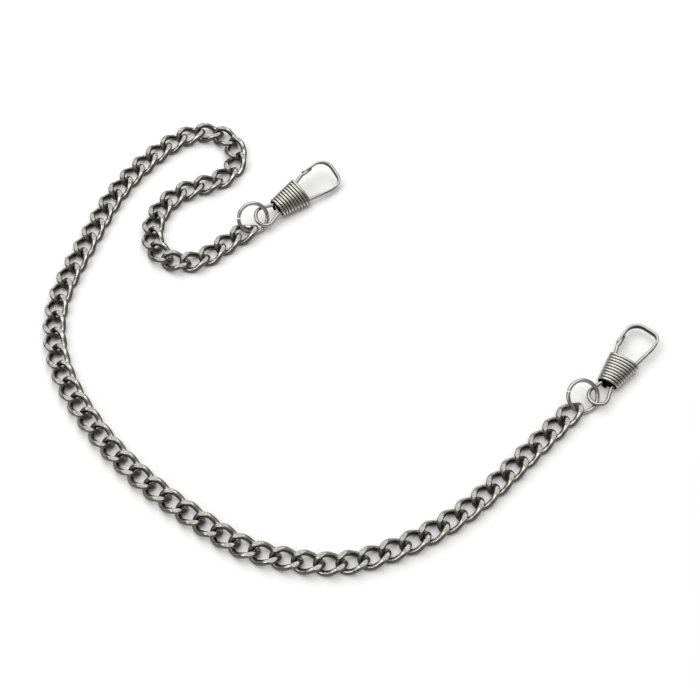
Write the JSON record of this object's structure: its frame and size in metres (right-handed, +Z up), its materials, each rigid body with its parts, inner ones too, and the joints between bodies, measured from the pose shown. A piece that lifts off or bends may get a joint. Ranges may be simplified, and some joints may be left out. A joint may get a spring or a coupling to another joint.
{
  "type": "pocket watch chain",
  "caption": "Curb-link pocket watch chain with a split jump ring and a wire-wound lobster style clasp with a sprung gate at each end.",
  "frame": {"origin": "centre of the footprint, on the plane the chain lies on", "axes": "+Z up, +Y away from the viewer of the picture, +X to the right; the free clasp is at +X"},
  "size_m": [0.138, 0.1202, 0.006],
  "materials": {
    "link": "antiqued silver plating over base metal, dark recesses, worn matte ground faces",
    "ring": "antiqued silver plating",
    "clasp": "antiqued silver plating, polished on the flattened band",
    "winding": "antiqued silver plating, dark between the turns"
  },
  "bodies": {
    "link_01": {"link_01": "link"},
    "links_02_03": {"links_02_03": "link"},
    "links_04_05": {"links_04_05": "link"},
    "links_06_07": {"links_06_07": "link"},
    "links_08_09": {"links_08_09": "link"},
    "links_10_11": {"links_10_11": "link"},
    "links_12_13": {"links_12_13": "link"},
    "links_14_15": {"links_14_15": "link"},
    "links_16_17": {"links_16_17": "link"},
    "links_18_19": {"links_18_19": "link"},
    "links_20_21": {"links_20_21": "link"},
    "links_22_23": {"links_22_23": "link"},
    "links_24_25": {"links_24_25": "link"},
    "links_26_27": {"links_26_27": "link"},
    "links_28_29": {"links_28_29": "link"},
    "link_30": {"link_30": "link"},
    "link_31": {"link_31": "link"},
    "link_32": {"link_32": "link"},
    "link_33": {"link_33": "link"},
    "link_34": {"link_34": "link"},
    "link_35": {"link_35": "link"},
    "link_36": {"link_36": "link"},
    "link_37": {"link_37": "link"},
    "link_38": {"link_38": "link"},
    "link_39": {"link_39": "link"},
    "link_40": {"link_40": "link"},
    "link_41": {"link_41": "link"},
    "link_42": {"link_42": "link"},
    "link_43": {"link_43": "link"},
    "link_44": {"link_44": "link"},
    "link_45": {"link_45": "link"},
    "link_46": {"link_46": "link"},
    "link_47": {"link_47": "link"},
    "link_48": {"link_48": "link"},
    "link_49": {"link_49": "link"},
    "link_50": {"link_50": "link"},
    "link_51": {"link_51": "link"},
    "link_52": {"link_52": "link"},
    "link_53": {"link_53": "link"},
    "link_54": {"link_54": "link"},
    "link_55": {"link_55": "link"},
    "link_56": {"link_56": "link"},
    "link_57": {"link_57": "link"},
    "link_58": {"link_58": "link"},
    "link_59": {"link_59": "link"},
    "link_60": {"link_60": "link"},
    "link_61": {"link_61": "link"},
    "link_62": {"link_62": "link"},
    "link_63": {"link_63": "link"},
    "link_64": {"link_64": "link"},
    "link_65": {"link_65": "link"},
    "link_66": {"link_66": "link"},
    "ring_a": {"jump_ring_a": "ring"},
    "clasp_a": {"clasp_a_hook": "clasp", "clasp_a_winding": "winding"},
    "gate_a": {"clasp_a_gate": "clasp"},
    "ring_b": {"jump_ring_b": "ring"},
    "clasp_b": {"clasp_b_hook": "clasp", "clasp_b_winding": "winding"},
    "gate_b": {"clasp_b_gate": "clasp"}
  },
  "joints": [
    {"name": "swing_33_34", "type": "hinge", "parent": "link_33", "child": "link_34", "pos_m": [-0.06525, -0.00546, 0.00122], "axis": [0, 0, 1], "range_deg": [-28, 40]},
    {"name": "lift_34_35", "type": "hinge", "parent": "link_34", "child": "link_35", "pos_m": [-0.06614, -0.00095, 0.00122], "axis": [-0.9921, -0.1253, 0], "range_deg": [-28, 28]},
    {"name": "swing_35_36", "type": "hinge", "parent": "link_35", "child": "link_36", "pos_m": [-0.0664, 0.00365, 0.00122], "axis": [0, 0, -1], "range_deg": [-42, 26]},
    {"name": "lift_36_37", "type": "hinge", "parent": "link_36", "child": "link_37", "pos_m": [-0.06601, 0.00823, 0.00122], "axis": [0.9882, -0.153, 0], "range_deg": [-28, 28]},
    {"name": "swing_37_38", "type": "hinge", "parent": "link_37", "child": "link_38", "pos_m": [-0.065, 0.01272, 0.00122], "axis": [0, 0, 1], "range_deg": [-30, 40]},
    {"name": "lift_38_39", "type": "hinge", "parent": "link_38", "child": "link_39", "pos_m": [-0.06359, 0.0171, 0.00122], "axis": [-0.9466, 0.3223, 0], "range_deg": [-28, 28]},
    {"name": "swing_39_40", "type": "hinge", "parent": "link_39", "child": "link_40", "pos_m": [-0.06203, 0.02142, 0.00122], "axis": [0, 0, -1], "range_deg": [-34, 34]},
    {"name": "lift_40_41", "type": "hinge", "parent": "link_40", "child": "link_41", "pos_m": [-0.06047, 0.02575, 0.00122], "axis": [0.9409, -0.3387, 0], "range_deg": [-28, 28]},
    {"name": "swing_41_42", "type": "hinge", "parent": "link_41", "child": "link_42", "pos_m": [-0.05891, 0.03008, 0.00122], "axis": [0, 0, 1], "range_deg": [-34, 34]},
    {"name": "lift_42_43", "type": "hinge", "parent": "link_42", "child": "link_43", "pos_m": [-0.05736, 0.03441, 0.00122], "axis": [-0.9252, 0.3795, 0], "range_deg": [-28, 28]},
    {"name": "swing_43_44", "type": "hinge", "parent": "link_43", "child": "link_44", "pos_m": [-0.05543, 0.03858, 0.00122], "axis": [0, 0, -1], "range_deg": [-40, 30]},
    {"name": "lift_44_45", "type": "hinge", "parent": "link_44", "child": "link_45", "pos_m": [-0.05314, 0.04257, 0.00122], "axis": [0.8453, -0.5344, 0], "range_deg": [-28, 28]},
    {"name": "swing_45_46", "type": "hinge", "parent": "link_45", "child": "link_46", "pos_m": [-0.05052, 0.04635, 0.00122], "axis": [0, 0, 1], "range_deg": [-24, 40]},
    {"name": "lift_46_47", "type": "hinge", "parent": "link_46", "child": "link_47", "pos_m": [-0.04757, 0.04989, 0.00122], "axis": [-0.7396, 0.673, 0], "range_deg": [-28, 28]},
    {"name": "swing_47_48", "type": "hinge", "parent": "link_47", "child": "link_48", "pos_m": [-0.04433, 0.05315, 0.00122], "axis": [0, 0, -1], "range_deg": [-42, 16]},
    {"name": "lift_48_49", "type": "hinge", "parent": "link_48", "child": "link_49", "pos_m": [-0.04067, 0.05593, 0.00122], "axis": [0.4955, -0.8686, 0], "range_deg": [-23, 23]},
    {"name": "swing_49_50", "type": "hinge", "parent": "link_49", "child": "link_50", "pos_m": [-0.03641, 0.05767, 0.00122], "axis": [0, 0, 1], "range_deg": [-6, 62]},
    {"name": "swing_50_51", "type": "hinge", "parent": "link_50", "child": "link_51", "pos_m": [-0.03183, 0.0572, 0.00122], "axis": [0, 0, -1], "range_deg": [-68, 2]},
    {"name": "swing_51_52", "type": "hinge", "parent": "link_51", "child": "link_52", "pos_m": [-0.02825, 0.05432, 0.00122], "axis": [0, 0, 1], "range_deg": [-2, 68]},
    {"name": "swing_52_53", "type": "hinge", "parent": "link_52", "child": "link_53", "pos_m": [-0.02681, 0.04995, 0.00122], "axis": [0, 0, -1], "range_deg": [-68, 2]},
    {"name": "swing_53_54", "type": "hinge", "parent": "link_53", "child": "link_54", "pos_m": [-0.02798, 0.0455, 0.00122], "axis": [0, 0, 1], "range_deg": [-2, 68]},
    {"name": "swing_54_55", "type": "hinge", "parent": "link_54", "child": "link_55", "pos_m": [-0.03139, 0.04242, 0.00122], "axis": [0, 0, -1], "range_deg": [-58, 12]},
    {"name": "lift_55_56", "type": "hinge", "parent": "link_55", "child": "link_56", "pos_m": [-0.03574, 0.0409, 0.00122], "axis": [0.3697, -0.9291, 0], "range_deg": [-28, 28]},
    {"name": "swing_56_57", "type": "hinge", "parent": "link_56", "child": "link_57", "pos_m": [-0.03993, 0.03902, 0.00122], "axis": [0, 0, 1], "range_deg": [-36, 16]},
    {"name": "swing_57_58", "type": "hinge", "parent": "link_57", "child": "link_58", "pos_m": [-0.04328, 0.03587, 0.00122], "axis": [0, 0, -1], "range_deg": [-16, 48]},
    {"name": "swing_58_59", "type": "hinge", "parent": "link_58", "child": "link_59", "pos_m": [-0.04543, 0.0318, 0.00122], "axis": [0, 0, 1], "range_deg": [-53, 16]},
    {"name": "swing_59_60", "type": "hinge", "parent": "link_59", "child": "link_60", "pos_m": [-0.04613, 0.02725, 0.00122], "axis": [0, 0, -1], "range_deg": [-16, 53]},
    {"name": "swing_60_61", "type": "hinge", "parent": "link_60", "child": "link_61", "pos_m": [-0.04532, 0.02273, 0.00122], "axis": [0, 0, 1], "range_deg": [-66, 2]},
    {"name": "swing_61_62", "type": "hinge", "parent": "link_61", "child": "link_62", "pos_m": [-0.04217, 0.01937, 0.00122], "axis": [0, 0, -1], "range_deg": [-2, 66]},
    {"name": "swing_62_63", "type": "hinge", "parent": "link_62", "child": "link_63", "pos_m": [-0.0377, 0.01827, 0.00122], "axis": [0, 0, 1], "range_deg": [-68, 2]},
    {"name": "swing_63_64", "type": "hinge", "parent": "link_63", "child": "link_64", "pos_m": [-0.03336, 0.01979, 0.00122], "axis": [0, 0, -1], "range_deg": [-12, 56]},
    {"name": "lift_64_65", "type": "hinge", "parent": "link_64", "child": "link_65", "pos_m": [-0.0299, 0.02282, 0.00122], "axis": [0.6587, -0.7524, 0], "range_deg": [-28, 28]},
    {"name": "swing_65_66", "type": "hinge", "parent": "link_65", "child": "link_66", "pos_m": [-0.02644, 0.02585, 0.00122], "axis": [0, 0, 1], "range_deg": [-26, 38]},
    {"name": "swing_32_33", "type": "hinge", "parent": "link_33", "child": "link_32", "pos_m": [-0.06389, -0.00985, 0.00122], "axis": [0, 0, 1], "range_deg": [-40, 28]},
    {"name": "lift_31_32", "type": "hinge", "parent": "link_32", "child": "link_31", "pos_m": [-0.06208, -0.01408, 0.00122], "axis": [-0.8973, -0.4415, 0], "range_deg": [-28, 28]},
    {"name": "swing_30_31", "type": "hinge", "parent": "link_31", "child": "link_30", "pos_m": [-0.05983, -0.0181, 0.00122], "axis": [0, 0, -1], "range_deg": [-32, 38]},
    {"name": "lift_29_30", "type": "hinge", "parent": "link_30", "child": "links_28_29", "pos_m": [-0.05738, -0.02199, 0.00122], "axis": [0.832, 0.5548, 0], "range_deg": [-28, 28]},
    {"name": "swing_27_28", "type": "hinge", "parent": "links_28_29", "child": "links_26_27", "pos_m": [-0.05189, -0.02936, 0.00122], "axis": [0, 0, 1], "range_deg": [-38, 32]},
    {"name": "lift_25_26", "type": "hinge", "parent": "links_26_27", "child": "links_24_25", "pos_m": [-0.04565, -0.03612, 0.00122], "axis": [-0.6984, -0.7157, 0], "range_deg": [-28, 28]},
    {"name": "swing_23_24", "type": "hinge", "parent": "links_24_25", "child": "links_22_23", "pos_m": [-0.03874, -0.04219, 0.00122], "axis": [0, 0, -1], "range_deg": [-32, 38]},
    {"name": "lift_21_22", "type": "hinge", "parent": "links_22_23", "child": "links_20_21", "pos_m": [-0.03132, -0.04764, 0.00122], "axis": [0.5779, 0.8161, 0], "range_deg": [-28, 28]},
    {"name": "swing_19_20", "type": "hinge", "parent": "links_20_21", "child": "links_18_19", "pos_m": [-0.02372, -0.05282, 0.00122], "axis": [0, 0, 1], "range_deg": [-44, 26]},
    {"name": "lift_17_18", "type": "hinge", "parent": "links_18_19", "child": "links_16_17", "pos_m": [-0.01512, -0.056, 0.00122], "axis": [-0.2385, -0.9711, 0], "range_deg": [-28, 28]},
    {"name": "swing_15_16", "type": "hinge", "parent": "links_16_17", "child": "links_14_15", "pos_m": [-0.00606, -0.05757, 0.00122], "axis": [0, 0, -1], "range_deg": [-26, 44]},
    {"name": "lift_13_14", "type": "hinge", "parent": "links_14_15", "child": "links_12_13", "pos_m": [0.00306, -0.05666, 0.00122], "axis": [-0.2538, 0.9673, 0], "range_deg": [-28, 28]},
    {"name": "swing_11_12", "type": "hinge", "parent": "links_12_13", "child": "links_10_11", "pos_m": [0.01164, -0.05333, 0.00122], "axis": [0, 0, 1], "range_deg": [-38, 30]},
    {"name": "lift_09_10", "type": "hinge", "parent": "links_10_11", "child": "links_08_09", "pos_m": [0.01966, -0.04885, 0.00122], "axis": [0.5476, -0.8368, 0], "range_deg": [-28, 28]},
    {"name": "swing_07_08", "type": "hinge", "parent": "links_08_09", "child": "links_06_07", "pos_m": [0.02699, -0.04329, 0.00122], "axis": [0, 0, -1], "range_deg": [-30, 38]},
    {"name": "lift_05_06", "type": "hinge", "parent": "links_06_07", "child": "links_04_05", "pos_m": [0.03352, -0.03682, 0.00122], "axis": [-0.7218, 0.6921, 0], "range_deg": [-28, 28]},
    {"name": "swing_03_04", "type": "hinge", "parent": "links_04_05", "child": "links_02_03", "pos_m": [0.03989, -0.03018, 0.00122], "axis": [0, 0, 1], "range_deg": [-34, 34]},
    {"name": "lift_01_02", "type": "hinge", "parent": "links_02_03", "child": "link_01", "pos_m": [0.04626, -0.02354, 0.00122], "axis": [0.7218, -0.6921, 0], "range_deg": [-28, 28]},
    {"name": "ring_a_hang", "type": "hinge", "parent": "link_01", "child": "ring_a", "pos_m": [0.04995, -0.0197, 0.00127], "axis": [-0.4639, 0.4449, -0.766], "range_deg": [-40, 35]},
    {"name": "clasp_a_swivel", "type": "hinge", "parent": "ring_a", "child": "clasp_a", "pos_m": [0.05451, -0.01754, 0.00169], "axis": [0, 0, 1], "range_deg": [-90, 50]},
    {"name": "gate_a_hinge", "type": "hinge", "parent": "clasp_a", "child": "gate_a", "pos_m": [0.05906, -0.0068, 0.00165], "axis": [0, 0, 1], "range_deg": [-42, 0], "stiffness_Nm_per_rad": 0.002, "springref_deg": 8.59},
    {"name": "ring_b_hang", "type": "hinge", "parent": "link_66", "child": "ring_b", "pos_m": [-0.02192, 0.02869, 0.00127], "axis": [-0.3425, 0.5439, -0.766], "range_deg": [-5, 60]},
    {"name": "clasp_b_swivel", "type": "hinge", "parent": "ring_b", "child": "clasp_b", "pos_m": [-0.0197, 0.0309, 0.00261], "axis": [0.2679, -0.306, 0.9135], "range_deg": [-45, 45]},
    {"name": "gate_b_hinge", "type": "hinge", "parent": "clasp_b", "child": "gate_b", "pos_m": [-0.01264, 0.04012, 0.00357], "axis": [0.2679, -0.306, 0.9135], "range_deg": [-42, 0], "stiffness_Nm_per_rad": 0.002, "springref_deg": 8.59}
  ]
}
